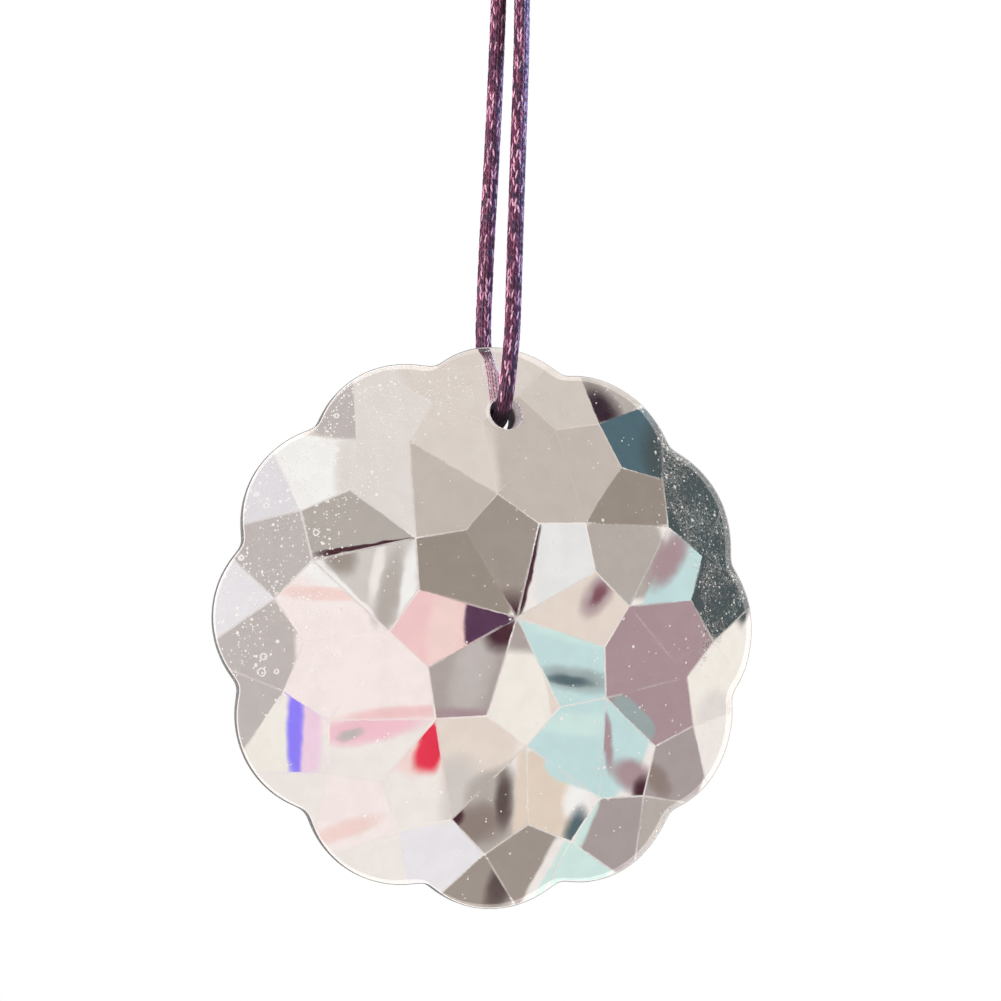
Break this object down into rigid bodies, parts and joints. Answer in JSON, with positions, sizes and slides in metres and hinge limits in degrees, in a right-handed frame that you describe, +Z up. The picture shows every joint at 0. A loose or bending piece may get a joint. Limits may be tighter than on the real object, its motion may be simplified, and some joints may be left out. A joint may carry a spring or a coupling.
{
  "type": "crystal suncatcher",
  "caption": "Round scalloped crystal disc with a domed faceted front and flat back, hung on a knotted satin cord with a hanging loop.",
  "frame": {"origin": "inside the top of the hanging loop, where the hook bears", "axes": "+Z up along the hang, +X to the right seen from the cut face, the cut face looking along -Y"},
  "size_m": [0.059, 0.012, 0.1262],
  "materials": {
    "crystal_glass": "polished",
    "satin_cord": "satin braid"
  },
  "bodies": {
    "root": {"crystal": "crystal_glass", "cord": "satin_cord", "cord_knot": "satin_cord", "hanging_loop": "satin_cord"}
  },
  "joints": []
}
